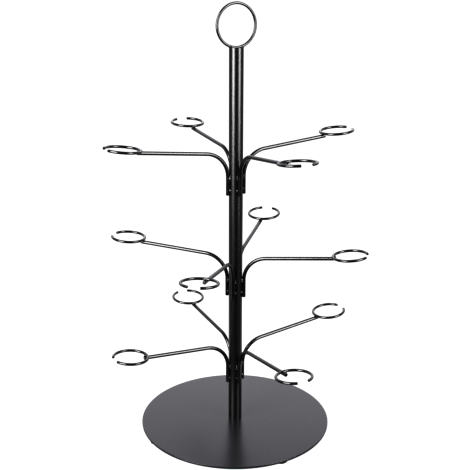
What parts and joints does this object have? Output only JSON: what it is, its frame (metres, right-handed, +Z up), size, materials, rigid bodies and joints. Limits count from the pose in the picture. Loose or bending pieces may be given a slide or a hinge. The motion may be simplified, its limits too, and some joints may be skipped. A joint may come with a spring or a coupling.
{
  "type": "mug tree",
  "caption": "Free-standing tree for stemmed glasses or cups: tiers of bent wire arms round a tube, each ending in an open ring, on a round base plate with a carrying ring on top.",
  "frame": {"origin": "on the tube's axis, at the surface that the four pads stand on", "axes": "+Z up the tube; +X along the first arm of the top tier, in the plane of the carrying ring"},
  "size_m": [0.4041, 0.4039, 0.6593],
  "materials": {
    "plate_coat": "satin black powder coat, fine texture",
    "pole_coat": "gloss black powder coat",
    "wire_coat": "gloss black powder coat on round wire",
    "weld_coat": "gloss black powder coat over rippled weld beads",
    "pad_rubber": "matt black rubber",
    "zinc_steel": "zinc plated steel"
  },
  "bodies": {
    "root": {"base_plate": "plate_coat", "pole_tube": "pole_coat", "pole_plug": "zinc_steel", "base_screw": "zinc_steel", "carrying_ring": "wire_coat", "carrying_ring_welds": "weld_coat", "foot_1": "pad_rubber", "foot_2": "pad_rubber", "foot_3": "pad_rubber", "foot_4": "pad_rubber", "top_arm_1": "wire_coat", "top_arm_2": "wire_coat", "top_arm_3": "wire_coat", "top_arm_4": "wire_coat", "middle_arm_1": "wire_coat", "middle_arm_2": "wire_coat", "middle_arm_3": "wire_coat", "middle_arm_4": "wire_coat", "bottom_arm_1": "wire_coat", "bottom_arm_2": "wire_coat", "bottom_arm_3": "wire_coat", "bottom_arm_4": "wire_coat", "top_ring_1": "wire_coat", "top_ring_2": "wire_coat", "top_ring_3": "wire_coat", "top_ring_4": "wire_coat", "middle_ring_1": "wire_coat", "middle_ring_2": "wire_coat", "middle_ring_3": "wire_coat", "middle_ring_4": "wire_coat", "bottom_ring_1": "wire_coat", "bottom_ring_2": "wire_coat", "bottom_ring_3": "wire_coat", "bottom_ring_4": "wire_coat", "top_arm_welds": "weld_coat", "middle_arm_welds": "weld_coat", "bottom_arm_welds": "weld_coat", "top_ring_welds": "weld_coat", "middle_ring_welds": "weld_coat", "bottom_ring_welds": "weld_coat"}
  },
  "joints": []
}
